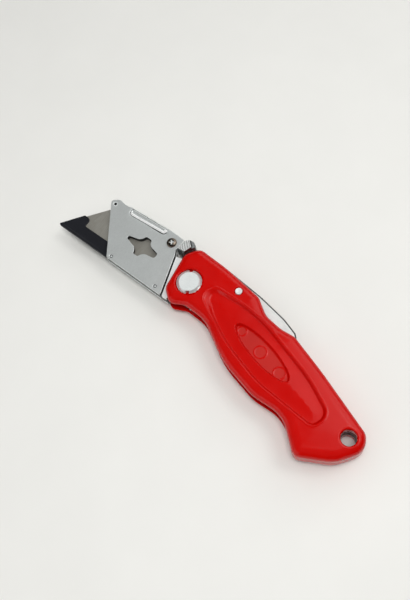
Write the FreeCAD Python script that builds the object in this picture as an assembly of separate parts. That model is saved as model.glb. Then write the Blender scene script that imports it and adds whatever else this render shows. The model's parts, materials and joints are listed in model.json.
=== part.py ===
"""Folding lock-back utility knife with a quick-change blade.

The knife lies on its side: +Z is up through its thickness, +X runs from the blade's tip to the
butt, +Y runs from the cutting edge to the spine.  Outlines are drawn about the head's pivot axis
and everything is moved at the end, so that the origin is under the middle of the knife.
"""
import FreeCAD, Part
import math
import os

V = FreeCAD.Vector

# where the pivot axis stands in the finished frame
PIVOT_X, PIVOT_Y = -12.2, 7.05

# levels through the thickness
THICKNESS = 14.0                # both shells
MID = THICKNESS / 2             # parting plane and blade plane
SLOT = 5.7                      # gap between the shells that the head swings in
HEAD = 5.2                      # covers and tang
COVER = 1.2                     # one cover plate
SLOT_TOP = MID + SLOT / 2
HEAD_TOP = MID + HEAD / 2
CORE_TOP = HEAD_TOP - COVER

# handle
SHELL_EDGE = 3.3                # rounding of a shell's outer edge
RIM_WALL = 1.8                  # wall that closes the slot behind the lock bar and at the butt
RIM_START = 48.6                # where that wall begins along the spine
TIP_SWEEP = 67.4                # circle about the pivot that the folded blade's tip stays inside
LEAF_DEPTH, OVAL_DEPTH = 1.5, 2.4
LANYARD = (83.6, -13.4)
LANYARD_R = 2.9
LANYARD_DISH, LANYARD_FLARE = 0.9, 0.7
SCREWS = ((59.3, -0.9), (73.6, -8.2), (76.2, -21.2))
SCREW_R, SCREW_HEAD_R, SCREW_SEAT = 1.1, 2.1, 2.0
INSERT_R, INSERT_LOW, INSERT_HIGH = 1.88, 9.9, 12.08

# pivot
BOLT_R, BOLT_FIT, BOLT_HEAD_R, STUD_R = 2.5, 0.05, 4.6, 1.8
NUT_R, NUT_BASE, NUT_TOP = 5.1, 11.8, 13.6
NUT_NOTCH_TURN = 120.0          # direction of the spanner notches, degrees from +X
TANG_R = 8.6
TANG_FLAT_Y = -7.2              # the tang's round stops here, inside the belly of the shells

# lock
LOCK_PIN = (18.4, 8.1)
LOCK_PIN_R, LOCK_PIN_HEAD_R, LOCK_PIN_TOP = 1.1, 1.4, 13.6

# blade: the standard 61 mm trapezoid
BLADE_TIP_X, BLADE_EDGE_Y = -64.9, -9.6
BLADE_LENGTH, BLADE_HEIGHT, BLADE_THICK = 61.0, 18.3, 0.6
BLADE_END_RUN = 14.0            # how far each end slants in
NOTCH_SPACING, NOTCH_WIDTH, NOTCH_DEPTH = 12.6, 3.2, 1.9
BEVEL = 2.6

# release lever
LEVER_PIN = (-22.5, 10.9)
LEVER_PIN_R = 0.75
COVER_SCREW, COVER_SCREW_HEAD_R = (-18.3, 10.2), 2.1
EAR_RIVET, EAR_HOLE_R = (-50.2, 10.6), 1.1

HANDLE_OUTLINE = (
    (-7.3, -7.0, 4.0), (-2.0, -11.1, 3.4), (4.0, -8.0, 6.0), (14.2, -8.4, 14.0),
    (30.5, -17.5, 40.0), (47.0, -21.3, 22.0), (60.2, -20.4, 14.0), (71.8, -30.1, 3.6),
    (84.5, -23.0, 12.0), (90.8, -13.5, 6.0), (87.5, -8.2, 4.0), (62.0, 1.3, 120.0),
    (46.3, 6.4, 5.0), (40.2, 5.9, 9.0), (32.4, 6.9, 8.0), (25.5, 11.4, 3.8),
    (8.0, 13.85, 60.0), (-6.2, 14.55, 3.8), (-10.1, 8.9, 5.0),
)
LEAF_OUTLINE = (
    (8.3, 4.3, 4.0), (30.5, 5.0, 60.0), (60.5, -4.0, 60.0), (74.0, -11.0, 4.6),
    (71.6, -18.2, 3.2), (45.5, -16.9, 45.0), (27.5, -11.8, 60.0), (8.2, -2.4, 4.0),
)
OVAL_CENTRE, OVAL_LONG, OVAL_SHORT, OVAL_TURN = (40.3, -6.2), 15.0, 4.3, -12.9

COVER_OUTLINE = (
    (-36.8, -10.3, 0.8), (-7.3, -10.3, 0.6), (-13.8, 7.2, 0.5), (-14.9, 8.6, 0.5),
    (-14.8, 14.15, 0.6), (-21.5, 14.45, 20.0), (-42.0, 13.55, 6.0), (-45.8, 12.75, 6.0),
    (-50.0, 13.4, 1.6), (-53.0, 11.0, 1.2),
)
RIB_OUTLINE = (
    (-42.0, 10.25, 1.3), (-23.6, 11.5, 1.1), (-23.3, 13.8, 0.2), (-42.3, 13.2, 0.4),
)
WINDOW_CENTRE = (-27.55, 1.9)
WINDOW_OUTLINE = (              # four lobes on a slim cross, about its own centre
    (-7.8, 0.7, 0.6), (-2.3, 2.0, 3.0), (-1.4, 4.5, 0.95), (1.5, 4.5, 0.95), (2.4, 2.1, 3.0),
    (7.6, 1.1, 1.0), (7.6, -1.3, 1.0), (2.5, -2.1, 3.0), (1.2, -4.55, 0.75), (-1.1, -4.55, 0.75),
    (-2.2, -2.1, 3.0), (-7.8, -0.7, 0.6),
)
TANG_OUTLINE = (
    (-6.6, -10.3, 0.3), (-4.4, -10.3, 1.5), (-2.0, -7.2, 0.0), (0.0, 0.0, 0.0), (0.0, 8.6, 0.0),
    (-4.95, 8.6, 0.4), (-4.95, 11.2, 0.5), (-6.8, 11.0, 0.6), (-9.0, 7.2, 0.8),
    (-12.9, 6.5, 0.3),
)
LOCK_BAR_OUTLINE = (
    (-4.6, 8.9, 0.3), (-1.2, 8.9, 0.3), (-0.9, 11.1, 0.8), (4.5, 11.3, 2.0), (11.0, 9.3, 6.0),
    (32.0, 7.2, 30.0), (40.0, 5.4, 20.0), (45.6, 4.4, 1.5),
    (47.9, 5.4, 0.7), (45.4, 8.0, 3.0), (38.6, 10.2, 20.0), (26.0, 12.4, 50.0),
    (8.1, 14.1, 60.0), (-4.2, 14.0, 1.0),
)
LEVER_OUTLINE = (
    (-41.0, 8.95, 0.2), (-39.0, 8.95, 0.2), (-38.8, 9.5, 0.2), (-24.2, 9.5, 0.5),
    (-20.9, 9.9, 0.8), (-20.5, 11.85, 0.3), (-15.0, 11.85, 0.4), (-14.4, 8.9, 0.6),
    (-12.2, 8.9, 0.3), (-11.6, 12.85, 0.4), (-22.5, 12.85, 1.5), (-27.0, 11.5, 3.0),
    (-41.0, 11.0, 0.6),
)
BUTTON_OUTLINE = (
    (-14.2, 9.0, 0.4), (-10.8, 8.7, 0.5), (-9.0, 12.2, 0.6), (-8.3, 14.1, 0.8),
    (-10.4, 15.3, 1.0), (-12.4, 14.9, 0.8), (-13.9, 13.2, 0.6),
)
GUARD_OUTLINE = (
    (-37.7, -10.1, 0.3), (-42.0, -4.3, 0.4), (-55.1, -4.45, 0.7), (-55.2, -0.65, 1.7),
    (-58.6, -0.6, 0.7), (-65.8, -10.25, 0.6),
)
SPRING_WIDTH, SPRING_THICK = 3.6, 0.6
LOCK_SPRING_LINE = ((55.2, 0.9), (49.5, 0.9), (31.0, 6.8))
RELEASE_SPRING_LINE = ((-45.5, 12.2), (-41.5, 12.2), (-31.0, 11.75))


def rounded_face(corners, centre=(0.0, 0.0)):
    """A flat face: straight runs between corners given as (x, y, radius of rounding)."""
    places = [V(x + centre[0], y + centre[1], 0) for x, y, _ in corners]
    arcs = []
    for i, (_, _, radius) in enumerate(corners):
        corner = places[i]
        before = (places[i - 1] - corner).normalize()
        after = (places[(i + 1) % len(places)] - corner).normalize()
        half = before.getAngle(after) / 2
        reach = radius / math.tan(half)
        inward = (before + after).normalize() * (radius / math.sin(half) - radius)
        arcs.append((corner + before * reach, corner + inward, corner + after * reach))
    edges = []
    for i, (start, middle, end) in enumerate(arcs):
        if (end - start).Length > 1e-6:
            edges.append(Part.Arc(start, middle, end).toShape())
        following = arcs[(i + 1) % len(arcs)][0]
        if (following - end).Length > 1e-6:
            edges.append(Part.LineSegment(end, following).toShape())
    return Part.Face(Part.Wire(edges))


def plate(face, low, high):
    """The face, drawn at height zero, extruded from one level to another."""
    raised = face.copy()
    raised.translate(V(0, 0, low))
    return raised.extrude(V(0, 0, high - low))


def disc(place, radius, low, high):
    return Part.makeCylinder(radius, high - low, V(place[0], place[1], low))


def ring(place, inner, outer, low, high):
    return disc(place, outer, low, high).cut(disc(place, inner, low, high))


def grown(face, distance):
    return Part.Face(face.makeOffset2D(distance).OuterWire)


def mirrored(shape):
    """The same shape on the other side of the parting plane."""
    return shape.mirror(V(0, 0, MID), V(0, 0, 1))


def rounded_edge(solid, level, radius):
    """The solid with every edge at one level rounded."""
    edges = [e for e in solid.Edges if abs(e.BoundBox.ZMin - level) < 0.01
             and abs(e.BoundBox.ZMax - level) < 0.01]
    return solid.makeFillet(radius, edges)


def bevelled_edge(solid, level, size):
    edges = [e for e in solid.Edges if abs(e.BoundBox.ZMin - level) < 0.01
             and abs(e.BoundBox.ZMax - level) < 0.01]
    return solid.makeChamfer(size, edges)


def cross_recess(place, level, depth, reach):
    """The tool that cuts a cross-head recess downwards from a level."""
    bars = [Part.makeBox(2 * a, 2 * b, depth, V(place[0] - a, place[1] - b, level - depth))
            for a, b in ((reach, reach / 4), (reach / 4, reach))]
    return bars[0].fuse(bars[1])


def strip(line, thick, low, high):
    """A leaf spring: a bent line thickened in the plane and extruded."""
    points = [V(x, y, 0) for x, y in line]
    sides = []
    for sign in (1, -1):
        side = []
        for i, point in enumerate(points):
            ahead = (points[min(i + 1, len(points) - 1)] - points[max(i - 1, 0)]).normalize()
            side.append(point + V(-ahead.y, ahead.x, 0) * (sign * thick / 2))
        sides.append(side)
    outline = sides[0] + sides[1][::-1]
    return plate(Part.Face(Part.makePolygon(outline + outline[:1])), low, high)


# ---------------------------------------------------------------- handle

def half_plane_box(x_low, x_high, y_low, y_high):
    """A flat rectangle, used to pick out a stretch of an outline."""
    return Part.makePlane(x_high - x_low, y_high - y_low, V(x_low, y_low, 0))


def closed_region():
    """Where the handle is closed between the shells: along the spine and round the butt."""
    spine = half_plane_box(RIM_START, 100.0, -9.0, 25.0)
    butt = half_plane_box(50.0, 100.0, -40.0, 25.0)
    sweep = Part.Face(Part.Wire(Part.makeCircle(TIP_SWEEP)))
    return spine.fuse(butt.cut(sweep))


def handle_screw_cuts():
    """Screw recess and clearance hole at each handle screw, for the lower shell."""
    return ([disc(p, SCREW_R + 0.1, -1, MID) for p in SCREWS]
            + [disc(p, SCREW_HEAD_R + 0.25, -1, SCREW_SEAT) for p in SCREWS])


def shell_blank():
    """The upper half of the handle with its grip recess, before its own holes."""
    whole = rounded_face(HANDLE_OUTLINE)
    rim = whole.cut(grown(whole, -RIM_WALL)).common(closed_region())
    body = rounded_edge(plate(whole, SLOT_TOP, THICKNESS), THICKNESS, SHELL_EDGE)
    body = body.fuse(plate(rim, MID, SLOT_TOP)).removeSplitter()
    leaf = plate(rounded_face(LEAF_OUTLINE), THICKNESS - LEAF_DEPTH, THICKNESS + 1)
    leaf = bevelled_edge(leaf, THICKNESS - LEAF_DEPTH, LEAF_DEPTH - 0.2)
    ellipse = Part.Ellipse(V(0, 0, 0), OVAL_LONG, OVAL_SHORT)
    oval = plate(Part.Face(Part.Wire(ellipse.toShape())), THICKNESS - OVAL_DEPTH, THICKNESS + 1)
    oval.rotate(V(0, 0, 0), V(0, 0, 1), OVAL_TURN)
    oval.translate(V(OVAL_CENTRE[0], OVAL_CENTRE[1], 0))
    lanyard = disc(LANYARD, LANYARD_R, MID - 1, THICKNESS + 1)
    dish = Part.makeCone(LANYARD_R, LANYARD_R + LANYARD_FLARE, LANYARD_DISH,
                         V(*LANYARD, THICKNESS - LANYARD_DISH))
    pin = disc(LOCK_PIN, LOCK_PIN_R, MID, THICKNESS)
    pin = pin.fuse(disc(LOCK_PIN, LOCK_PIN_HEAD_R + 0.1, LOCK_PIN_TOP - 0.65, THICKNESS + 1))
    return body.cut([leaf, oval, lanyard, dish, pin, disc((0, 0), BOLT_R + BOLT_FIT, MID, 15)])


def upper_shell():
    nut_seat = disc((0, 0), NUT_R + 0.15, NUT_BASE, THICKNESS + 1)
    dish = Part.makeCone(NUT_R + 0.15, NUT_R + 1.15, 0.8, V(0, 0, THICKNESS - 0.8))
    inserts = [disc(p, INSERT_R + 0.02, MID, INSERT_HIGH + 0.02) for p in SCREWS]
    return shell_blank().cut([nut_seat, dish] + inserts)


def lower_shell():
    bolt_seat = disc((0, 0), BOLT_HEAD_R + 0.3, -1, SCREW_SEAT)
    return mirrored(shell_blank()).cut([bolt_seat] + handle_screw_cuts())


def back_spacer():
    """Steel-grey filler behind the blade space, with a finger that holds the lock spring."""
    inside = grown(rounded_face(HANDLE_OUTLINE), -RIM_WALL - 0.05)
    finger = rounded_face(((50.2, 12.0, 0), (50.2, -0.9, 0.6), (66.0, -5.0, 0.4),
                           (75.0, -5.0, 0), (75.0, 12.0, 0)))
    sweep = Part.Face(Part.Wire(Part.makeCircle(TIP_SWEEP + 0.1)))
    butt = half_plane_box(50.0, 100.0, -40.0, 25.0).cut(sweep)
    levels = (MID - SLOT / 2 + 0.05, SLOT_TOP - 0.05)
    spacer = plate(inside.common(finger), *levels).fuse(plate(inside.common(butt), *levels))
    slit = Part.makeBox(5.6, SPRING_THICK + 0.04, SLOT,
                        V(49.8, LOCK_SPRING_LINE[0][1] - SPRING_THICK / 2 - 0.02, 4.0))
    holes = [disc(p, SCREW_R + 0.1, 3, 11) for p in SCREWS] + [disc(LANYARD, LANYARD_R, 3, 11)]
    return spacer.removeSplitter().cut([slit] + holes)


def lock_bar():
    bar = plate(rounded_face(LOCK_BAR_OUTLINE), MID - 2.5, MID + 2.5)
    bar = bar.fuse(disc(LOCK_PIN, 2.0, MID - 2.5, MID + 2.5)).removeSplitter()
    return bar.cut(disc(LOCK_PIN, LOCK_PIN_R + 0.05, 3, 11))


def lock_bar_pin():
    """Rivet that the lock bar rocks on, with a set head each side."""
    pin = disc(LOCK_PIN, LOCK_PIN_R, THICKNESS - LOCK_PIN_TOP, LOCK_PIN_TOP)
    head = disc(LOCK_PIN, LOCK_PIN_HEAD_R, LOCK_PIN_TOP - 0.63, LOCK_PIN_TOP)
    dimple = Part.makeCone(0.15, 0.6, 0.3, V(*LOCK_PIN, LOCK_PIN_TOP - 0.3))
    return pin.fuse([head, mirrored(head)]).cut([dimple, mirrored(dimple)])


def lock_spring():
    half = SPRING_WIDTH / 2
    return strip(LOCK_SPRING_LINE, SPRING_THICK, MID - half, MID + half)


def handle_screws():
    screws = []
    low, seat = 0.6, SCREW_SEAT - 0.02
    for place in SCREWS:
        screw = disc(place, SCREW_HEAD_R, low, seat).fuse(disc(place, SCREW_R, seat, 11.6))
        screws.append(screw.cut(mirrored(cross_recess(place, THICKNESS - low, 0.7, 1.2))))
    return Part.Compound(screws)


def handle_inserts():
    """Brass threaded inserts, blind in the upper shell."""
    return Part.Compound([disc(p, INSERT_R, INSERT_LOW, INSERT_HIGH)
                          .cut(disc(p, SCREW_R + 0.02, INSERT_LOW - 1, 11.7)) for p in SCREWS])


# ---------------------------------------------------------------- pivot

def pivot_bolt():
    seat = SCREW_SEAT - 0.02
    head = bevelled_edge(disc((0, 0), BOLT_HEAD_R, 0.5, seat), 0.5, 0.4)
    slot = Part.makeBox(7.4, 1.2, 0.7, V(-3.7, -0.6, 0.4))
    return head.fuse([disc((0, 0), BOLT_R, seat, NUT_BASE),
                      disc((0, 0), STUD_R, NUT_BASE, NUT_TOP - 0.7)]).cut(slot)


def pivot_nut():
    """Flat disc nut with a bevelled ring and two spanner notches."""
    nut = bevelled_edge(disc((0, 0), NUT_R, NUT_BASE, NUT_TOP), NUT_TOP, 0.85)
    cuts = [disc((0, 0), STUD_R + 0.02, NUT_BASE - 1, NUT_TOP - 0.68)]
    for turn in (0, 180):
        notch = Part.makeBox(2.0, 1.4, 3.0, V(NUT_R - 1.0, -0.7, NUT_BASE + 0.3))
        notch.rotate(V(0, 0, 0), V(0, 0, 1), NUT_NOTCH_TURN + turn)
        cuts.append(notch)
    return nut.cut(cuts)


def pivot_washers():
    washer = ring((0, 0), BOLT_R + 0.1, BOLT_HEAD_R, HEAD_TOP + 0.02, SLOT_TOP - 0.03)
    return Part.Compound([washer, mirrored(washer)])


# ---------------------------------------------------------------- head

def blade_face():
    """The blade's trapezoid."""
    left, right = BLADE_TIP_X, BLADE_TIP_X + BLADE_LENGTH
    low, high = BLADE_EDGE_Y, BLADE_EDGE_Y + BLADE_HEIGHT
    points = [V(left, low, 0), V(right, low, 0), V(right - BLADE_END_RUN, high, 0),
              V(left + BLADE_END_RUN, high, 0)]
    return Part.Face(Part.makePolygon(points + points[:1]))


def blade():
    back = BLADE_EDGE_Y + BLADE_HEIGHT
    half = BLADE_THICK / 2
    edge, bevel_top = BLADE_EDGE_Y, BLADE_EDGE_Y + BEVEL
    section = [V(BLADE_TIP_X, y, MID + z) for y, z in (
        (edge, -0.03), (edge, 0.03), (bevel_top, half), (back, half), (back, -half),
        (bevel_top, -half))]
    bar = Part.Face(Part.makePolygon(section + section[:1])).extrude(V(BLADE_LENGTH, 0, 0))
    solid = bar.common(plate(blade_face(), MID - 1, MID + 1))
    middle = BLADE_TIP_X + BLADE_LENGTH / 2
    for side in (-0.5, 0.5):
        notch_x = middle + side * NOTCH_SPACING - NOTCH_WIDTH / 2
        solid = solid.cut(Part.makeBox(NOTCH_WIDTH, NOTCH_DEPTH + 1, 2,
                                       V(notch_x, back - NOTCH_DEPTH, MID - 1)))
    return solid


def blade_guard():
    """Plastic channel that slips over the exposed cutting edge and the tip."""
    body = plate(rounded_face(GUARD_OUTLINE), MID - 0.95, MID + 0.95)
    body = bevelled_edge(body, MID + 0.95, 0.2)
    body = bevelled_edge(body, MID - 0.95, 0.2)
    return body.cut(plate(grown(blade_face(), 0.08), MID - 0.36, MID + 0.36))


def window_cut(low, high):
    return plate(rounded_face(WINDOW_OUTLINE, WINDOW_CENTRE), low, high)


def blade_carrier():
    """Cast plate that holds the blade, with the full-thickness tang that pivots in the handle."""
    cam = Part.Face(Part.Wire(Part.makeCircle(TANG_R)))
    cam = cam.cut(half_plane_box(-2.0, TANG_R, -TANG_R, TANG_FLAT_Y))
    tang = rounded_face(TANG_OUTLINE).fuse(cam)
    core = grown(rounded_face(COVER_OUTLINE), -0.12)
    neck = rounded_face(((-9.5, -10.18, 0), (-4.0, -10.18, 0), (-7.5, 6.3, 0), (-15.0, 6.3, 0)))
    solid = plate(tang, MID - HEAD / 2, HEAD_TOP)
    solid = solid.fuse([plate(core, MID * 2 - CORE_TOP, CORE_TOP),
                        plate(neck, MID * 2 - CORE_TOP, CORE_TOP)])
    pocket = grown(blade_face(), 0.15).fuse(half_plane_box(-70, -50, BLADE_EDGE_Y - 0.15, 8.85))
    lever_room = rounded_face(((-44.3, 8.8, 0.4), (-20.2, 8.8, 0.4), (-20.2, 11.3, 0.3),
                               (-15.6, 11.3, 0.3), (-15.6, 6.6, 0), (-10.0, 6.6, 0),
                               (-10.0, 16.0, 0), (-44.3, 16.0, 0)))
    spring_slit = Part.makeBox(2.2, 0.44, HEAD, V(-46.0, 11.98, MID - HEAD / 2))
    return solid.cut([plate(pocket, MID - 0.4, MID + 0.4),
                      plate(lever_room, MID * 2 - CORE_TOP - 0.01, CORE_TOP + 0.01),
                      spring_slit, window_cut(0, THICKNESS),
                      disc((0, 0), BOLT_R + BOLT_FIT, 0, THICKNESS),
                      disc(EAR_RIVET, EAR_HOLE_R, 0, THICKNESS),
                      disc(COVER_SCREW, 1.0, 0, THICKNESS)]).removeSplitter()


def cover_blank():
    """Cover plate with its pressed rib, window, rivet holes and stamped corner marks."""
    cover = plate(rounded_face(COVER_OUTLINE), CORE_TOP, HEAD_TOP)
    rib = rounded_edge(plate(rounded_face(RIB_OUTLINE), CORE_TOP, HEAD_TOP + 0.75),
                       HEAD_TOP + 0.75, 0.15)
    marks = [ring(p, 0.35, 0.75, HEAD_TOP - 0.25, HEAD_TOP + 1)
             for p in ((-35.2, -9.0), (-11.6, -8.6))]
    pin_hole = disc(LEVER_PIN, LEVER_PIN_R, CORE_TOP - 1, CORE_TOP + 0.6)
    return cover.fuse(rib).removeSplitter().cut(
        marks + [window_cut(0, THICKNESS), pin_hole, disc(EAR_RIVET, EAR_HOLE_R, 0, THICKNESS),
                 disc(COVER_SCREW, 1.0, 0, THICKNESS)])


def upper_cover():
    return cover_blank()


def lower_cover():
    return mirrored(cover_blank())


def ear_rivet():
    """Hollow rivet that holds both covers to the carrier at the top front corner."""
    return ring(EAR_RIVET, 0.65, EAR_HOLE_R - 0.02, MID - HEAD / 2 - 0.1, HEAD_TOP + 0.1)


def cover_screw():
    head = rounded_edge(disc(COVER_SCREW, COVER_SCREW_HEAD_R, HEAD_TOP + 0.01, HEAD_TOP + 1.25),
                        HEAD_TOP + 1.25, 0.8)
    shank = disc(COVER_SCREW, 0.98, MID - HEAD / 2 + 0.1, HEAD_TOP + 0.01)
    return head.fuse(shank).cut(cross_recess(COVER_SCREW, HEAD_TOP + 1.3, 0.9, 1.15))


def lever_pin():
    return disc(LEVER_PIN, LEVER_PIN_R - 0.02, MID * 2 - CORE_TOP - 0.5, CORE_TOP + 0.5)


def release_lever():
    """Lever under the ribs: a catch in front of its pin, the thumb button behind it."""
    lever = plate(rounded_face(LEVER_OUTLINE), MID - 1.25, MID + 1.25)
    lever = lever.fuse(disc(LEVER_PIN, 1.8, MID - 1.25, MID + 1.25)).removeSplitter()
    return lever.cut(disc(LEVER_PIN, LEVER_PIN_R + 0.03, 0, THICKNESS))


def release_button():
    """Serrated thumb block, slotted over the lever's tail."""
    block = plate(rounded_face(BUTTON_OUTLINE), MID - 2.2, 12.1)
    tail = plate(grown(rounded_face(LEVER_OUTLINE), 0.03), MID - 1.28, MID + 1.28)
    low_nub = Part.makeBox(4.0, 6.0, 3.0, V(-9.9, 11.4, 11.3))
    low_nub.rotate(V(-9.9, 11.4, 11.3), V(0, 0, 1), 20)
    grooves = [Part.makeBox(8.0, 0.3, 0.3, V(-15.0, 9.5 + 0.75 * i, 11.8)) for i in range(7)]
    return block.cut([tail, low_nub] + grooves)


def release_spring():
    return strip(RELEASE_SPRING_LINE, 0.4, MID - 1.2, MID + 1.2)


NODES = {
    "upper_shell": upper_shell, "lower_shell": lower_shell, "back_spacer": back_spacer,
    "lock_bar": lock_bar, "lock_bar_pin": lock_bar_pin, "lock_spring": lock_spring,
    "handle_screws": handle_screws, "handle_inserts": handle_inserts,
    "pivot_bolt": pivot_bolt, "pivot_nut": pivot_nut, "pivot_washers": pivot_washers,
    "blade_carrier": blade_carrier, "upper_cover": upper_cover, "lower_cover": lower_cover,
    "ear_rivet": ear_rivet, "cover_screw": cover_screw, "lever_pin": lever_pin,
    "release_lever": release_lever, "release_button": release_button,
    "release_spring": release_spring, "blade": blade, "blade_guard": blade_guard,
}

os.makedirs("parts", exist_ok=True)
for name, make in NODES.items():
    shape = make()
    shape.translate(V(PIVOT_X, PIVOT_Y, 0))
    shape.exportStep(f"parts/{name}.step")
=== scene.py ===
"""Looks of the folding utility knife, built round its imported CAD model.

Outlines are in millimetres about the head's pivot axis, as in the CAD source, and a piece is moved
into the frame when its mesh is made. Plates and shells are height fields over those outlines.
"""
import json
import math

import bpy
import numpy as np
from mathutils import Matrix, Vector
from mathutils.geometry import delaunay_2d_cdt
from mathutils.kdtree import KDTree


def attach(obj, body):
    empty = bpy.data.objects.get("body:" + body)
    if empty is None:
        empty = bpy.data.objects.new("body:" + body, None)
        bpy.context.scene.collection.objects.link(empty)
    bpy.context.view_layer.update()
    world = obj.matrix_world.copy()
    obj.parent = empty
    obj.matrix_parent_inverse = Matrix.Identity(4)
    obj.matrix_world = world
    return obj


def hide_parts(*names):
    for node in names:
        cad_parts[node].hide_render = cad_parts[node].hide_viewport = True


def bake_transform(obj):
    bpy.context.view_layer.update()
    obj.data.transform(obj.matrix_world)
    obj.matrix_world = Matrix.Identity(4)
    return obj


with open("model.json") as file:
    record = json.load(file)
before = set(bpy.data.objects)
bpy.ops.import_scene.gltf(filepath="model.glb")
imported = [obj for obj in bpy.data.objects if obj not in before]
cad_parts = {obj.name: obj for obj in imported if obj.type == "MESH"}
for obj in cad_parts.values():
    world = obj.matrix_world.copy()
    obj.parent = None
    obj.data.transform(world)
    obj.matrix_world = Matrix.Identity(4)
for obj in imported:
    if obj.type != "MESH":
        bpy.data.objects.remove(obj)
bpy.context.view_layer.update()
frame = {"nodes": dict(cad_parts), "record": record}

MM = 0.001
PIVOT = np.array((-12.2, 7.05))
THICKNESS, MID = 14.0, 7.0
SLOT_TOP, HEAD_TOP, CORE_TOP = 9.85, 9.6, 8.4

# ---------------------------------------------------------------- outlines, as in the CAD source

HANDLE = (
    (-7.3, -7.0, 4.0), (-2.0, -11.1, 3.4), (4.0, -8.0, 6.0), (14.2, -8.4, 14.0),
    (30.5, -17.5, 40.0), (47.0, -21.3, 22.0), (60.2, -20.4, 14.0), (71.8, -30.1, 3.6),
    (84.5, -23.0, 12.0), (90.8, -13.5, 6.0), (87.5, -8.2, 4.0), (62.0, 1.3, 120.0),
    (46.3, 6.4, 5.0), (40.2, 5.9, 9.0), (32.4, 6.9, 8.0), (25.5, 11.4, 3.8),
    (8.0, 13.85, 60.0), (-6.2, 14.55, 3.8), (-10.1, 8.9, 5.0),
)
LEAF = (
    (8.3, 4.3, 4.0), (30.5, 5.0, 60.0), (60.5, -4.0, 60.0), (74.0, -11.0, 4.6),
    (71.6, -18.2, 3.2), (45.5, -16.9, 45.0), (27.5, -11.8, 60.0), (8.2, -2.4, 4.0),
)
OVAL_CENTRE, OVAL_LONG, OVAL_SHORT, OVAL_TURN = (40.3, -6.2), 15.0, 4.3, -12.9
LANYARD, LANYARD_R = (83.6, -13.4), 2.9
LOCK_PIN = (18.4, 8.1)
SCREWS = ((59.3, -0.9), (73.6, -8.2), (76.2, -21.2))
NUT_R, NUT_TOP, NUT_BASE = 5.1, 13.6, 11.8
COVER = (
    (-36.8, -10.3, 0.8), (-7.5, -10.3, 0.6), (-14.0, 7.2, 0.5), (-15.0, 8.6, 0.5),
    (-14.8, 14.15, 0.6), (-21.5, 14.45, 20.0), (-42.0, 13.55, 6.0), (-45.8, 12.75, 6.0),
    (-50.0, 13.4, 1.6), (-53.0, 11.0, 1.2),
)
RIB = ((-42.0, 10.25, 1.3), (-23.6, 11.5, 1.1), (-23.3, 13.75, 0.8), (-42.3, 13.1, 1.0))
WINDOW_CENTRE = (-27.55, 1.9)
WINDOW = (
    (-7.8, 0.7, 0.6), (-2.3, 2.0, 3.0), (-1.4, 4.5, 0.95), (1.5, 4.5, 0.95), (2.4, 2.1, 3.0),
    (7.6, 1.1, 1.0), (7.6, -1.3, 1.0), (2.5, -2.1, 3.0), (1.2, -4.55, 0.75), (-1.1, -4.55, 0.75),
    (-2.2, -2.1, 3.0), (-7.8, -0.7, 0.6),
)
EAR_RIVET, COVER_SCREW = (-50.2, 10.6), (-18.3, 10.2)
LOCK_BAR = (
    (-4.6, 8.9, 0.3), (-1.2, 8.9, 0.3), (-0.9, 11.1, 0.8), (4.5, 11.3, 2.0), (11.0, 9.3, 6.0),
    (32.0, 7.2, 30.0), (40.0, 5.4, 20.0), (45.6, 4.4, 1.5),
    (47.9, 5.4, 0.7), (45.4, 8.0, 3.0), (38.6, 10.2, 20.0), (26.0, 12.4, 50.0),
    (8.1, 14.1, 60.0), (-4.2, 14.0, 1.0),
)
BUTTON = (
    (-14.2, 9.0, 0.4), (-10.8, 8.7, 0.5), (-9.0, 12.2, 0.6), (-8.3, 14.1, 0.8),
    (-10.4, 15.3, 1.0), (-12.4, 14.9, 0.8), (-13.9, 13.2, 0.6),
)
THUMB_FACE = (
    (-14.0, 9.2, 0.3), (-10.6, 9.5, 0.3), (-9.6, 12.6, 0.3), (-12.2, 14.75, 0.4),
    (-13.75, 12.9, 0.3),
)
GUARD = (
    (-37.7, -10.1, 0.3), (-42.0, -4.3, 0.4), (-55.1, -4.45, 0.7), (-55.2, -0.65, 1.7),
    (-58.6, -0.6, 0.7), (-65.8, -10.25, 0.6),
)
BLADE_TIP_X, BLADE_EDGE_Y = -64.9, -9.6
BLADE_LENGTH, BLADE_HEIGHT, BLADE_HALF, BLADE_END_RUN = 61.0, 18.3, 0.3, 14.0
LOCK_SPRING_LINE = ((55.2, 0.9), (49.5, 0.9), (31.0, 6.8))
RELEASE_SPRING_LINE = ((-45.5, 12.2), (-41.5, 12.2), (-31.0, 11.75))

# ---------------------------------------------------------------- meshing

ROW_RATIO = 0.866         # height of a row of the net, per spacing
NET_ROOM = 0.45           # clear room round a line or point, as a part of the net's spacing
LINE_ROOM, FINE_ROOM = 0.04, 0.07     # least gap to a line, and between fine points
STEP_RISE, STEP_FACING, SLIVER = 0.2, 0.72, 0.02    # when a face counts as a step
WALL_FACING = 0.85        # walls facing this much alike share their normals
ON_RING = 0.04            # a face centre this near an outline is on its wall


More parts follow.
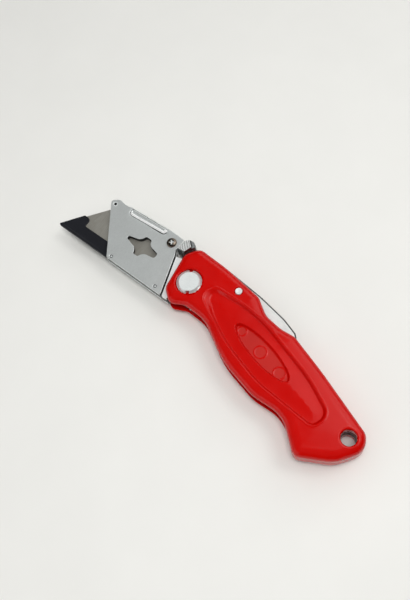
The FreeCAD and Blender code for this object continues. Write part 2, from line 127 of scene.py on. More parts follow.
def rounded(corners, centre=(0.0, 0.0), step=0.8, bend=0.2):
    """Points round an outline of straight runs between corners given as (x, y, radius)."""
    places = [Vector((x + centre[0], y + centre[1])) for x, y, _ in corners]
    arcs = []
    for i, (_, _, radius) in enumerate(corners):
        before = (places[i - 1] - places[i]).normalized()
        after = (places[(i + 1) % len(places)] - places[i]).normalized()
        half = before.angle(after) / 2
        middle = places[i] + (before + after).normalized() * (radius / math.sin(half))
        start = places[i] + before * (radius / math.tan(half)) - middle
        end = places[i] + after * (radius / math.tan(half)) - middle
        first = math.atan2(start.y, start.x)
        sweep = math.atan2(start.cross(end), start.dot(end)) if radius else 0.0
        count = max(1, math.ceil(radius * abs(sweep) / step), math.ceil(abs(sweep) / bend))
        arcs.append([middle + Vector((math.cos(first + sweep * k / count),
                                      math.sin(first + sweep * k / count))) * radius
                     for k in range(count + 1)] if radius else [places[i]])
    points = []
    for i, arc in enumerate(arcs):
        following = arcs[(i + 1) % len(arcs)][0]
        points += arc
        run = following - arc[-1]
        count = math.ceil(run.length / step)
        points += [arc[-1] + run * (k / count) for k in range(1, count)]
    kept = [p for i, p in enumerate(points) if (p - points[i - 1]).length > 1e-4]
    return np.array([tuple(p) for p in kept])


def circle(place, radius, count=48):
    turn = np.linspace(0, 2 * math.pi, count, endpoint=False)
    return np.column_stack((np.cos(turn), np.sin(turn))) * radius + place


def ellipse(place, long, short, degrees, count=96):
    ring = circle((0, 0), 1.0, count) * (long, short)
    c, s = math.cos(math.radians(degrees)), math.sin(math.radians(degrees))
    return ring @ np.array(((c, s), (-s, c))) + place


def distance(points, ring):
    """How far each point is from a closed ring of straight runs."""
    best = np.full(len(points), 1e9)
    for a, b in zip(ring, np.roll(ring, -1, axis=0)):
        along = b - a
        t = np.clip(((points - a) @ along) / max(along @ along, 1e-12), 0, 1)
        best = np.minimum(best, np.hypot(*(points - a - t[:, None] * along).T))
    return best


def inside(points, ring):
    found = np.zeros(len(points), bool)
    x, y = points.T
    for (ax, ay), (bx, by) in zip(ring, np.roll(ring, -1, axis=0)):
        crosses = (ay > y) != (by > y)
        where = ax + (y - ay) / np.where(by == ay, 1e-9, by - ay) * (bx - ax)
        found ^= crosses & (x < where)
    return found


def surveyed(ring, gap=0.25, margin=2.0):
    """A quick smooth lookup of signed distance to a ring, positive inside it."""
    low = ring.min(0) - margin
    counts = np.ceil((ring.max(0) + margin - low) / gap).astype(int) + 3
    grid = np.stack(np.meshgrid(*(np.arange(n) for n in counts), indexing="ij"), -1)
    places = grid.reshape(-1, 2) * gap + low
    values = distance(places, ring) * np.where(inside(places, ring), 1.0, -1.0)
    values = values.reshape(counts)

    def weights(t):
        return (-t / 2 + t ** 2 - t ** 3 / 2, 1 - 2.5 * t ** 2 + 1.5 * t ** 3,
                t / 2 + 2 * t ** 2 - 1.5 * t ** 3, -t ** 2 / 2 + t ** 3 / 2)

    def signed(points):
        at = np.clip((points - low) / gap, 1.0, counts - 2.001)
        cell = np.floor(at).astype(int)
        across, up = weights(at[:, 0] - cell[:, 0]), weights(at[:, 1] - cell[:, 1])
        total = np.zeros(len(points))
        for i in range(4):
            for j in range(4):
                total += across[i] * up[j] * values[cell[:, 0] + i - 1, cell[:, 1] + j - 1]
        return total

    return signed


def smooth(t):
    t = np.clip(t, 0, 1)
    return t * t * (3 - 2 * t)


def ramp(t, soft=0.22):
    """From 0 to 1 along a straight slope whose two ends are eased over a part of the way."""
    t = np.clip(t, 0, 1)
    scale = 1 / (2 * soft * (1 - soft))
    middle = (t - soft / 2) / (1 - soft)
    return np.where(t < soft, t * t * scale, np.where(t > 1 - soft, 1 - (1 - t) ** 2 * scale,
                                                      middle))


def inset(ring, amount):
    """The ring's points moved inwards, without those that would come too near its other side."""
    ahead = np.roll(ring, -1, axis=0) - np.roll(ring, 1, axis=0)
    area = np.sum(ring[:, 0] * np.roll(ring[:, 1], -1) - ring[:, 1] * np.roll(ring[:, 0], -1))
    normal = np.column_stack((-ahead[:, 1], ahead[:, 0])) * np.sign(area)
    normal /= np.hypot(*normal.T)[:, None]
    moved = ring + normal * amount
    slack = 0.04 + 0.02 * abs(amount)
    return moved[np.abs(distance(moved, ring) - abs(amount)) < slack]


def radius_from(points, place):
    return np.hypot(*(points - place).T)


def thinned(points, gap):
    """The points, less those closer than the gap to one already kept."""
    cells, kept = {}, []
    for p in points:
        key = (int(p[0] // gap), int(p[1] // gap))
        around = [q for i in (-1, 0, 1) for j in (-1, 0, 1)
                  for q in cells.get((key[0] + i, key[1] + j), ())]
        if all((p[0] - q[0]) ** 2 + (p[1] - q[1]) ** 2 > gap * gap for q in around):
            cells.setdefault(key, []).append(p)
            kept.append(p)
    return np.array(kept).reshape(-1, 2)


def corner_normals(height, flat, faces, sign, reach=0.03, step=0.01):
    """Normals of a height at each face's corners, taken from just inside the face.

    A face that stands much steeper than the height beside it is a step, and keeps its own normal.
    """
    corners = flat[faces]
    inward = corners.mean(axis=1, keepdims=True) - corners
    inward /= np.maximum(np.linalg.norm(inward, axis=2, keepdims=True), 1e-9)
    at = (corners + inward * reach).reshape(-1, 2)
    slopes = [(height(at + move) - height(at - move)) / (2 * step)
              for move in ((step, 0.0), (0.0, step))]
    normals = np.column_stack((-slopes[0], -slopes[1], np.ones(len(at)))) * sign
    normals /= np.linalg.norm(normals, axis=1, keepdims=True)
    solid = np.column_stack((flat, height(flat)))[faces]
    own = np.cross(solid[:, 1] - solid[:, 0], solid[:, 2] - solid[:, 0]) * sign
    area = np.linalg.norm(own, axis=1, keepdims=True)
    longest = np.max(np.linalg.norm(solid - np.roll(solid, 1, axis=1), axis=2), axis=1)
    tall = (np.ptp(solid[:, :, 2], axis=1) > STEP_RISE) & (area[:, 0] > SLIVER * longest)
    own = np.repeat(own / np.maximum(area, 1e-12), 3, axis=0)
    stepped = (np.sum(own * normals, axis=1) < STEP_FACING) & np.repeat(tall, 3)
    return np.where(stepped[:, None], own, normals).reshape(-1, 3, 3)


def field(outline, holes, top, bottom, spacing, rings=(), loose=()):
    """Vertices, faces and corner normals of a solid between two heights over an outline.

    Rings are closed lines that the mesh has an edge along. Loose points are added where finer
    shape needs them, and a regular net of points fills the rest.
    """
    low, high = outline.min(0), outline.max(0)
    xs = np.arange(low[0], high[0], spacing)
    ys = np.arange(low[1], high[1], spacing * ROW_RATIO)
    net = np.array([(x + spacing / 2 * (j % 2), y) for j, y in enumerate(ys) for x in xs])
    lines = [outline, *holes, *rings]
    extra = [np.asarray(p, float).reshape(-1, 2) for p in loose]
    fine = np.vstack(extra) if extra else np.zeros((0, 2))
    near = np.full(len(net), 1e9)
    for line in lines:
        near = np.minimum(near, distance(net, line))
    net = net[near > spacing * NET_ROOM]
    if len(fine):
        keep = inside(fine, outline)
        for line in lines:
            keep &= distance(fine, line) > LINE_ROOM
        fine = thinned(fine[keep], FINE_ROOM)
        tree = KDTree(max(len(fine), 1))
        for i, (x, y) in enumerate(fine):
            tree.insert((x, y, 0.0), i)
        tree.balance()
        net = np.array([p for p in net if tree.find((*p, 0.0))[2] > spacing * NET_ROOM])
        net = net.reshape(-1, 2)
    filled = np.vstack((fine, net))
    keep = inside(filled, outline)
    for hole in holes:
        keep &= ~inside(filled, hole)
    points = np.vstack((*lines, filled[keep]))
    edges, start = [], 0
    for line in lines:
        n = len(line)
        edges += [(start + i, start + (i + 1) % n) for i in range(n)]
        start += n
    found = delaunay_2d_cdt([Vector(p) for p in points], edges, [], 0, 1e-6)
    flat = np.array([tuple(p) for p in found[0]])
    faces = np.array([f for f in found[2] if len(f) == 3])
    middle = flat[faces].mean(axis=1)
    keep = inside(middle, outline)
    for hole in holes:
        keep &= ~inside(middle, hole)
    faces = faces[keep]
    turn = np.cross(flat[faces[:, 1]] - flat[faces[:, 0]], flat[faces[:, 2]] - flat[faces[:, 0]])
    faces = np.where((turn > 0)[:, None], faces, faces[:, ::-1])[np.abs(turn) > 1e-9]
    used = np.unique(faces)
    number = np.full(len(flat), -1)
    number[used] = np.arange(len(used))
    flat, faces = flat[used], number[faces]
    n = len(flat)
    verts = np.vstack((np.column_stack((flat, top(flat))), np.column_stack((flat, bottom(flat)))))
    sides = {}
    for a, b, c in faces:
        for u, v in ((a, b), (b, c), (c, a)):
            if sides.pop((v, u), None) is None:
                sides[(u, v)] = True
    walls = [(u, u + n, v + n, v) for u, v in sides]
    outward = {}
    for u, v in sides:
        run = flat[v] - flat[u]
        outward[(u, v)] = np.array((run[1], -run[0])) / np.hypot(*run)
    leaving = {u: (u, v) for u, v in sides}
    arriving = {v: (u, v) for u, v in sides}
    wall_normals = []
    for side in sides:
        own = outward[side]
        ends = []
        for beside in (arriving.get(side[0], side), leaving.get(side[1], side)):
            alike = own @ outward[beside] > WALL_FACING
            shared = own + outward[beside] if alike else own
            ends.append((*(shared / np.hypot(*shared)), 0.0))
        wall_normals.append((ends[0], ends[0], ends[1], ends[1]))
    upper = corner_normals(top, flat, faces, 1)
    lower = corner_normals(bottom, flat, faces, -1)[:, ::-1]
    return (verts, [tuple(f) for f in faces] + [tuple(f[::-1] + n) for f in faces] + walls,
            [*upper, *lower, *wall_normals])


def mirrored(part):
    """The same part on the other side of the mid plane."""
    verts, faces, *normals = part
    under = [(x, y, THICKNESS - z) for x, y, z in verts]
    turned_over = [[[(x, y, -z) for x, y, z in face[::-1]] for face in given] for given in normals]
    return (under, [face[::-1] for face in faces], *turned_over)


def piece(name, parts, body, material, stands_for=(), sharp=32, flip=False, others=()):
    """One visible mesh from parts in millimetres about the pivot.

    A part is vertices and faces, and normals where they are better than the faces' own. Others
    are pairs of another material and a test of face centres for where it goes.
    """
    verts, faces, normals = [], [], []
    for part in parts:
        v, f, *n = mirrored(part) if flip else part
        start = len(verts)
        verts += [tuple(p) for p in v]
        faces += [tuple(start + int(i) for i in face) for face in f]
        given = n[0] if n else [((0.0, 0.0, 0.0),) * len(face) for face in f]
        normals += [tuple(float(c) for c in corner) for face in given for corner in face]
    co = np.array(verts, float)
    middles = np.array([co[face[0]] + co[face[1]] + co[face[2]] for face in faces]) / 3
    co[:, :2] += PIVOT
    mesh = bpy.data.meshes.new(name)
    mesh.from_pydata([tuple(p) for p in co * MM], [], faces)
    mesh.materials.append(material)
    index = np.zeros(len(faces), np.int32)
    for other, test in others:
        index[test(middles)] = len(mesh.materials)
        mesh.materials.append(other)
    mesh.polygons.foreach_set("material_index", index)
    mesh.shade_smooth()
    mesh.set_sharp_from_angle(angle=math.radians(sharp))
    mesh.update()
    mesh.normals_split_custom_set(normals)
    obj = bpy.data.objects.new(name, mesh)
    bpy.context.scene.collection.objects.link(obj)
    if body:
        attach(obj, body)
    if stands_for:
        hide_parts(*stands_for)
    return obj


def turned(profile, place, count=56):
    """A solid of revolution from (radius, z) points, listed so that its outside faces out."""
    rows, verts, faces = [], [], []
    for radius, z in profile:
        if radius < 1e-6:
            rows.append([len(verts)] * count)
            verts.append((*place, z))
        else:
            rows.append(list(range(len(verts), len(verts) + count)))
            verts += [(x, y, z) for x, y in circle(place, radius, count)]
    closed = profile[0][0] > 1e-6 and profile[-1][0] > 1e-6
    pairs = list(zip(rows, rows[1:])) + ([(rows[-1], rows[0])] if closed else [])
    for lower, upper in pairs:
        for k in range(count):
            m = (k + 1) % count
            face = []
            for i in (lower[k], lower[m], upper[m], upper[k]):
                if i not in face:
                    face.append(i)
            if len(face) > 2:
                faces.append(tuple(face))
    return verts, faces


# ---------------------------------------------------------------- materials

class Nodes:
    """A material's node tree, with short ways to add what these surfaces need."""

    def __init__(self, name):
        self.material = bpy.data.materials.new(name)
        self.material.use_nodes = True
        self.tree = self.material.node_tree
        self.shader = self.tree.nodes["Principled BSDF"]
        self.where = self.add("ShaderNodeTexCoord").outputs["Object"]

    def add(self, kind, **settings):
        node = self.tree.nodes.new(kind)
        for key, value in settings.items():
            setattr(node, key, value)
        return node

    def link(self, a, b):
        self.tree.links.new(a, b)

    def noise(self, scale, detail=3.0, stretch=(1, 1, 1), turn=0.0, rough=0.55):
        mapping = self.add("ShaderNodeMapping")
        mapping.inputs["Scale"].default_value = stretch
        mapping.inputs["Rotation"].default_value = (0, 0, math.radians(turn))
        self.link(self.where, mapping.inputs["Vector"])
        noise = self.add("ShaderNodeTexNoise")
        noise.inputs["Scale"].default_value = scale
        noise.inputs["Detail"].default_value = detail
        noise.inputs["Roughness"].default_value = rough
        self.link(mapping.outputs["Vector"], noise.inputs["Vector"])
        return noise.outputs["Fac"]

    def ramp(self, source, stops):
        ramp = self.add("ShaderNodeValToRGB")
        while len(ramp.color_ramp.elements) < len(stops):
            ramp.color_ramp.elements.new(0.5)
        for element, (at, value) in zip(ramp.color_ramp.elements, stops):
            element.position = at
            element.color = (*value, 1) if isinstance(value, tuple) else (value,) * 3 + (1,)
        self.link(source, ramp.inputs["Fac"])
        return ramp.outputs["Color"]

    def feed(self, sockets, values):
        """Set each socket to its value, or link it to another socket."""
        for socket, value in zip(sockets, values):
            if hasattr(value, "links"):
                self.link(value, socket)
            else:
                socket.default_value = value

    def mix(self, factor, a, b):
        mix = self.add("ShaderNodeMix", data_type="RGBA")
        self.feed([mix.inputs[key] for key in ("Factor", "A", "B")], (factor, a, b))
        return mix.outputs["Result"]

    def calculate(self, operation, *values):
        node = self.add("ShaderNodeMath", operation=operation)
        self.feed(node.inputs, values)
        return node.outputs[0]

    def bump(self, heights, strength, distance_mm):
        bump = self.add("ShaderNodeBump")
        bump.inputs["Strength"].default_value = strength
        bump.inputs["Distance"].default_value = distance_mm * MM
        self.link(heights, bump.inputs["Height"])
        if self.shader.inputs["Normal"].links:
            self.link(self.shader.inputs["Normal"].links[0].from_socket, bump.inputs["Normal"])
        self.link(bump.outputs["Normal"], self.shader.inputs["Normal"])

    def set(self, **values):
        for key, value in values.items():
            self.shader.inputs[key.replace("_", " ")].default_value = value


def moulded_red(name, dark, light, rough, level, grain):
    """Moulded red plastic, worn to a soft shine."""
    m = Nodes(name)
    cloud = m.noise(60, 2)
    m.link(m.ramp(cloud, ((0.3, dark), (0.7, light))), m.shader.inputs["Base Color"])
    wear = m.noise(240, 3, rough=0.6)
    m.link(m.ramp(wear, ((0.3, rough - 0.04), (0.7, rough + 0.04))),
           m.shader.inputs["Roughness"])
    m.bump(m.noise(2600, 2), grain, 0.02)
    m.set(IOR=1.48, Specular_IOR_Level=level)
    return m.material


def metal_nodes(name, dark, light, rough, grain=(1, 1, 1), turn=0.0, scale=700, specks=0.0,
                metallic=1.0, bump=0.08):
    """Brushed or cast metal: fine lines, a slow change of tone, and dark specks if asked for."""
    m = Nodes(name)
    lines = m.noise(scale, 4, grain, turn)
    cloud = m.noise(140, 3)
    base = m.ramp(lines, ((0.25, dark), (0.75, light)))
    base = m.mix(0.35, base, m.ramp(cloud, ((0.3, dark), (0.7, light))))
    if specks:
        spots = m.ramp(m.noise(520, 5, rough=0.75), ((0.62, 0.0), (0.72, 1.0)))
        base = m.mix(specks, base, m.mix(spots, base, (0.16, 0.16, 0.16, 1)))
    m.link(base, m.shader.inputs["Base Color"])
    m.link(m.ramp(lines, ((0.2, rough - 0.05), (0.8, rough + 0.06))),
           m.shader.inputs["Roughness"])
    m.bump(lines, bump, 0.03)
    m.set(Metallic=metallic)
    return m


def metal(*values, **settings):
    return metal_nodes(*values, **settings).material


# Near-black painted shade for the tang and carrier, where the covers and the window would shadow
# them.
PAINTED_SHADE_COLOUR = (0.012, 0.012, 0.013, 1)
GROOVE_AT, GROOVE_REACH = 0.6, 0.9    # painted shade band behind the cover's rear edge
EDGE_GROOVE_REACH = 0.15              # and the one along the cover's belly edge
NOSE_X, BELLY_Y = -4.3, -7.2          # shade is painted on the tang behind and below this corner
WINDOW_REACH = (8.4, 5.2)


def carrier_metal(*values, **settings):
    """Cast metal, with near-black shade painted under the window, in the parting grooves beside
    the covers and on the tang below its nose.
    """
    m = metal_nodes(*values, **settings)
    parts = m.add("ShaderNodeSeparateXYZ")
    m.link(m.where, parts.inputs[0])
    x, y, z = parts.outputs

    def within(value, centre, reach):
        return m.calculate("COMPARE", value, centre * MM, reach * MM)

    start, end = (np.array(COVER[i][:2]) + PIVOT for i in (1, 2))
    across = np.array((end[1] - start[1], start[0] - end[0])) / np.hypot(*(end - start))
    dot = m.add("ShaderNodeVectorMath", operation="DOT_PRODUCT")
    m.link(m.where, dot.inputs[0])
    dot.inputs[1].default_value = (*across, 0.0)
    behind = within(dot.outputs["Value"], across @ start + GROOVE_AT, GROOVE_REACH)
    edge = within(y, start[1], EDGE_GROOVE_REACH)
    deep = within(z, MID, CORE_TOP - MID + 0.05)
    belly = within(y, PIVOT[1] + BELLY_Y - 5.0, 5.0)
    nose = within(x, PIVOT[0] + NOSE_X + 20.0, 20.0)
    window = m.calculate("MULTIPLY", within(x, PIVOT[0] + WINDOW_CENTRE[0], WINDOW_REACH[0]),
                         within(y, PIVOT[1] + WINDOW_CENTRE[1], WINDOW_REACH[1]))
    groove = m.calculate("MULTIPLY", m.calculate("MAXIMUM", behind, edge), deep)
    hidden = m.calculate("MAXIMUM", window, m.calculate("MULTIPLY", belly, nose))
    dark = m.calculate("MAXIMUM", groove, hidden)
    colour = m.shader.inputs["Base Color"]
    # Paint the shade into the base colour.
    m.link(m.mix(dark, colour.links[0].from_socket, PAINTED_SHADE_COLOUR), colour)
    return m.material


def plastic(name, dark, light, rough, scale=1400, bump=0.12):
    m = Nodes(name)
    cloud = m.noise(160, 3)
    m.link(m.ramp(cloud, ((0.3, dark), (0.7, light))), m.shader.inputs["Base Color"])
    grain = m.noise(scale, 3)
    m.link(m.ramp(grain, ((0.2, rough - 0.05), (0.8, rough + 0.06))),
           m.shader.inputs["Roughness"])
    m.bump(grain, bump, 0.03)
    m.set(IOR=1.5, Specular_IOR_Level=0.3)
    return m.material


def ground_blade():
    """Oiled steel: fine lines across the grind, warm grey, with darker stains."""
    m = Nodes("blade_steel")
    lines = m.noise(500, 3, (9, 0.6, 1))
    stain = m.noise(110, 3)
    base = m.ramp(lines, ((0.25, (0.30, 0.292, 0.26)), (0.75, (0.38, 0.37, 0.335))))
    base = m.mix(m.ramp(stain, ((0.45, 0.0), (0.75, 0.5))), base, (0.22, 0.205, 0.17, 1))
    m.link(base, m.shader.inputs["Base Color"])
    m.link(m.ramp(lines, ((0.2, 0.30), (0.8, 0.42))), m.shader.inputs["Roughness"])
    m.bump(lines, 0.10, 0.02)
    m.set(Metallic=0.4)
    return m.material


RED = moulded_red("red_shell", (0.51, 0.0016, 0.0004), (0.55, 0.0020, 0.0005),
                  rough=0.21, level=0.27, grain=0.03)
RED_GRAINED = moulded_red("red_grained", (0.45, 0.006, 0.0025), (0.50, 0.008, 0.0035),
                          rough=0.48, level=0.34, grain=0.25)
SATIN = metal("satin_plate", (0.69, 0.725, 0.72), (0.79, 0.83, 0.825), 0.34, (2, 1, 1), 20, 1100,
              specks=0.03, metallic=0.58)
BRIGHT = metal("bright_steel", (0.74, 0.78, 0.78), (0.88, 0.91, 0.91), 0.36, (1, 3, 1), 35, 800,
               specks=0.08, metallic=0.25)
SHADE = metal("recess_shade", (0.02, 0.02, 0.02), (0.035, 0.035, 0.034), 0.6, (1, 1, 1), 0, 700,
              metallic=0.2)
THUMB = metal("button_steel", (0.62, 0.64, 0.63), (0.78, 0.79, 0.78), 0.30, (1, 2, 1), 20, 900,
              specks=0.15, metallic=0.35)
# Darker copy of the button steel, painted into the serration grooves as shade.
THUMB_GROOVE_SHADE = metal("button_groove_shade", (0.22, 0.23, 0.23), (0.30, 0.31, 0.31), 0.40, (1, 2, 1),
                     20, 900, metallic=0.4)
# Near-white painted highlight for the rib's lower flank.
PAINTED_HIGHLIGHT = metal("painted_highlight_edge", (0.87, 0.88, 0.88), (0.95, 0.95, 0.95), 0.30, (1, 2, 1), 20, 900,
              metallic=0.05)
# Darker copy of the button steel, painted on its sides as shade.
THUMB_SIDE_SHADE = metal("button_side_shade", (0.13, 0.14, 0.14), (0.22, 0.23, 0.23), 0.30, (1, 1, 3), 0, 700)
BAR = metal("ground_bar", (0.70, 0.73, 0.72), (0.88, 0.90, 0.89), 0.36, (1, 3, 1), 60, 500,
            specks=0.35, metallic=0.3)
# Near-black painted shade for the lock bar's outer edge and the stamp grooves.
PAINTED_SHADE_EDGE = metal("painted_shade_edge", (0.05, 0.055, 0.055), (0.09, 0.10, 0.10), 0.55, (1, 1, 6),
                  0, 900, metallic=0.4)
TANG = carrier_metal("cast_tang", (0.74, 0.77, 0.77), (0.88, 0.90, 0.90), 0.36, (1, 4, 1),
                     -20, 700, specks=0.10, metallic=0.25)
SPRING = metal("spring_steel", (0.30, 0.30, 0.29), (0.42, 0.42, 0.40), 0.32, (1, 8, 1), 0, 600)
BLADE = ground_blade()
GUARD_PLASTIC = plastic("guard_plastic", (0.008, 0.009, 0.012), (0.012, 0.013, 0.018), 0.5)
SPACER = plastic("spacer_plastic", (0.10, 0.0015, 0.0012), (0.14, 0.0022, 0.0018), 0.5)
BRASS = metal("brass", (0.56, 0.42, 0.16), (0.72, 0.56, 0.26), 0.34, (1, 1, 8), 0, 900)
SCREW = metal("dark_screw", (0.14, 0.11, 0.085), (0.30, 0.25, 0.20), 0.28, (1, 1, 1), 0, 1100)
SLOT_MATERIAL = {"red_shell": RED, "satin_plate": SATIN, "bright_steel": BRIGHT,
                 "cast_tang": TANG, "spring_steel": SPRING, "blade_steel": BLADE,
                 "guard_plastic": GUARD_PLASTIC, "spacer_plastic": SPACER, "brass": BRASS,
                 "dark_screw": SCREW}

# ---------------------------------------------------------------- handle

EDGE_DROP, EDGE_REACH, EDGE_POWER = 3.3, 4.4, 2.15
CROWN, CROWN_REACH = 0.45, 11.0
LEAF_DEPTH, OVAL_STEP, OVAL_WALL = 1.4, 1.1, 0.9
LIP, LIP_WIDTH, LIP_START = 0.15, 0.3, 1.5        # low ridge just outside the leaf
FLOOR_RISE, FLOOR_FROM, FLOOR_OVER = 0.45, 1.5, 6.5
LEAF_NOSE, WALL_WIDTH, NOSE_WIDTH, NOSE_REACH = (9.0, -2.0), 1.15, 2.2, 6.0
RING_RISE, RING_HALF = 0.16, 0.28
HOLE_ROUND = 0.9
SHELL_WALL, WALL_SPINE, WALL_BUTT = 1.82, (48.6, -9.0), (50.0, 67.4)
PARTING_RISE, PARTING_REACH = 0.22, 0.25
SEAT_DROP = 0.5
PIN_SEAT, SCREW_SEAT, BOLT_SEAT = (1.5, 12.95, 0.35), (2.35, 12.0, 0.3), (4.9, 12.0, 0.8)
EMBLEMS = ((29.0, -3.6, 1.8), (39.6, -6.2, 2.4), (50.1, -8.6, 2.3))

handle_ring = rounded(HANDLE, step=0.7)
leaf_ring = rounded(LEAF, step=0.6)
oval_ring = ellipse(OVAL_CENTRE, OVAL_LONG, OVAL_SHORT, OVAL_TURN)
from_edge = surveyed(rounded(HANDLE, step=1.0, bend=0.08), 0.35)
into_leaf = surveyed(rounded(LEAF, step=1.0, bend=0.06), 0.3)
into_oval = surveyed(ellipse(OVAL_CENTRE, OVAL_LONG, OVAL_SHORT, OVAL_TURN, 180), 0.25)


def leaf_wall(points):
    """Width of the recess's sloping wall, widest at its front end."""
    near_nose = np.exp(-(radius_from(points, LEAF_NOSE) / NOSE_REACH) ** 2)
    return WALL_WIDTH + NOSE_WIDTH * near_nose


def grip_surface(points):
    """Height of the shell's outside, before its holes."""
    edge = np.maximum(from_edge(points), 0)
    t = np.clip((EDGE_REACH - edge) / EDGE_REACH, 0, 1)
    z = THICKNESS - LIP - EDGE_DROP * (1 - (1 - t ** EDGE_POWER) ** (1 / EDGE_POWER))
    z -= CROWN * (1 - smooth(edge / CROWN_REACH))
    leaf = into_leaf(points)
    ridge = np.exp(-((leaf + LIP_WIDTH) / LIP_WIDTH) ** 2)
    z += LIP * ridge * smooth((edge - LIP_START) / LIP_START)
    leaf = np.maximum(leaf, 0)
    floor = FLOOR_RISE * smooth((leaf - FLOOR_FROM) / FLOOR_OVER)
    z -= (LEAF_DEPTH - floor) * ramp(leaf / leaf_wall(points), 0.3)
    oval = np.maximum(into_oval(points), 0)
    z -= OVAL_STEP * ramp(oval / OVAL_WALL) + floor * smooth(oval / OVAL_WALL)
    for x, y, r in EMBLEMS:
        z += RING_RISE * np.exp(-((radius_from(points, (x, y)) - r) / RING_HALF) ** 2)
    rim = radius_from(points, LANYARD) - LANYARD_R
    z -= HOLE_ROUND * (1 - np.sqrt(1 - np.clip(1 - rim / HOLE_ROUND, 0, 1) ** 2))
    return z


def grip_inside(points):
    """Height of the shell's inside: at the slot, or at the parting plane where it is closed."""
    edge = np.maximum(from_edge(points), 0)
    x, y = points.T
    spine = (x > WALL_SPINE[0]) & (y > WALL_SPINE[1])
    butt = (x > WALL_BUTT[0]) & (radius_from(points, (0, 0)) > WALL_BUTT[1])
    closed = (edge < SHELL_WALL) & (spine | butt)
    parting = PARTING_RISE * np.clip(1 - edge / PARTING_REACH, 0, 1)
    return np.where(closed, MID, SLOT_TOP) + parting


def grained(middles):
    """The oval's floor, between the smooth raised rings."""
    ring = np.min([np.abs(radius_from(middles[:, :2], (x, y)) - r) for x, y, r in EMBLEMS], axis=0)
    return (into_oval(middles[:, :2]) > 1.0) & (ring > RING_HALF)


LEAF_LINES = (-0.9, -0.6, -0.45, -0.3, -0.15, 0.17, 0.35, 0.6, 0.85, 1.0, 1.15, 1.6, 2.1, 2.7, 3.3)
EMBLEM_LINES = (-0.6, -0.35, -0.15, 0.0, 0.15, 0.35, 0.6)


def shell(name, seats, flip):
    """One half of the grip. Seats are (place, radius, floor height, soft rim width)."""
    def top(points):
        z = grip_surface(points)
        for place, radius, floor, rim in seats:
            r = radius_from(points, place)
            if rim:
                z -= SEAT_DROP * (1 - smooth((r - radius) / rim)) * (r > radius)
            z = np.where(r < radius - 0.01, floor, z)
        return z

    shape = [inset(handle_ring, EDGE_REACH * (1 - math.cos(math.radians(a))))
             for a in range(20, 100, 10)]
    shape += [inset(handle_ring, a) for a in (0.25, 1.8, 1.86)]
    shape = [line[into_leaf(line) < -0.4] for line in shape]
    shape += [inset(leaf_ring, a) for a in LEAF_LINES]
    shape += [inset(oval_ring, a) for a in (0.2, 0.4, 0.6, 0.8, 1.1)]
    shape += [circle((x, y), r + d, 44) for x, y, r in EMBLEMS for d in EMBLEM_LINES]
    shape += [circle(LANYARD, LANYARD_R + d, 48) for d in (0.05, 0.15, 0.35, 0.6, 0.9)]
    rings = [leaf_ring, oval_ring]
    for place, radius, _, rim in seats:
        rings += [circle(place, radius, 64), circle(place, radius - 0.03, 64)]
        shape += [circle(place, radius + rim * k, 64) for k in (0.25, 0.5, 0.75, 1.0) if rim]
    mesh = field(handle_ring, [circle(LANYARD, LANYARD_R, 48)], top, grip_inside, 0.95,
                 rings, shape)
    node = "upper_shell" if not flip else "lower_shell"
    return piece(name, [mesh], "handle", RED, [node], flip=flip,
                 others=[(RED_GRAINED, grained)])


shell("grip_upper", [((0, 0), NUT_R + 0.15, NUT_BASE, 0.8), (LOCK_PIN, *PIN_SEAT)], False)
shell("grip_lower", [((0, 0), *BOLT_SEAT), (LOCK_PIN, *PIN_SEAT)]
      + [(place, *SCREW_SEAT) for place in SCREWS], True)


def rounded_plate(outline, holes, low, high, edge, spacing, rise=None, rings=(), loose=()):
    """A flat plate with a small round on every top and bottom edge, and any raised shape."""
    lines = [outline, *holes]
    gauges = [surveyed(line, 0.2) for line in lines]

    def fall(points):
        near = np.min([np.abs(gauge(points)) for gauge in gauges], axis=0)
        t = np.clip(1 - near / edge, 0, 1)
        return edge * (1 - np.sqrt(1 - t ** 2))

    def top(points):
        z = high - fall(points)
        return z + rise(points) if rise else z

    shape = list(loose)
    for k, line in enumerate(lines):
        shape += [inset(line, (edge if k == 0 else -edge) * d) for d in (0.13, 0.5, 1.0)]
    return field(outline, holes, top, lambda points: low + fall(points), spacing, rings, shape)


# ---------------------------------------------------------------- lock and pivot

BAR_AXIS = ((4.5, 26.0, 38.6, 46.5), (12.4, 10.0, 7.8, 6.0))
# Width of the painted shade band on the lock bar's outer edge, and where it starts.
SHADE_BAND, SHADE_BAND_FROM = 0.6, 4.5
BAR_HALF, BAR_ROUND, PIN_HOLE_R = 2.5, 0.3, 1.15

bar_ring = rounded(LOCK_BAR, step=0.6)
into_bar = surveyed(bar_ring, 0.2)
bar = rounded_plate(bar_ring, [circle(LOCK_PIN, PIN_HOLE_R, 32)], MID - BAR_HALF,
                    MID + BAR_HALF, BAR_ROUND, 1.1, loose=[inset(bar_ring, SHADE_BAND)])


def back_edge_shade(middles):
    """Faces on the lock bar's outer edge, where a band of shade is painted."""
    outer = middles[:, 1] > np.interp(middles[:, 0], *BAR_AXIS)
    near = into_bar(middles[:, :2]) < SHADE_BAND * 0.97
    return near & outer & (middles[:, 0] > SHADE_BAND_FROM)


piece("lock_bar_ground", [bar], "lock", BAR, ["lock_bar"],
      others=[(PAINTED_SHADE_EDGE, back_edge_shade)])

pin = [(0.0, 0.5), (0.35, 0.5), (0.6, 0.42), (1.25, 0.42), (1.4, 0.62), (1.4, 1.03), (1.1, 1.03)]
whole = pin + [(r, THICKNESS - z) for r, z in pin[::-1]]
piece("lock_pin_rivet", [turned(whole, LOCK_PIN, 40)], "handle", BRIGHT,
      ["lock_bar_pin"])


NOTCH_TURN = 120.0
NOTCH = ((4.95, -0.7), (4.0, -0.7), (4.0, 0.0), (4.0, 0.7), (4.95, 0.7))      # radius, sideways
BEVEL_FROM, BEVEL_RUN, BEVEL_DROP = 4.05, 0.9, 0.8


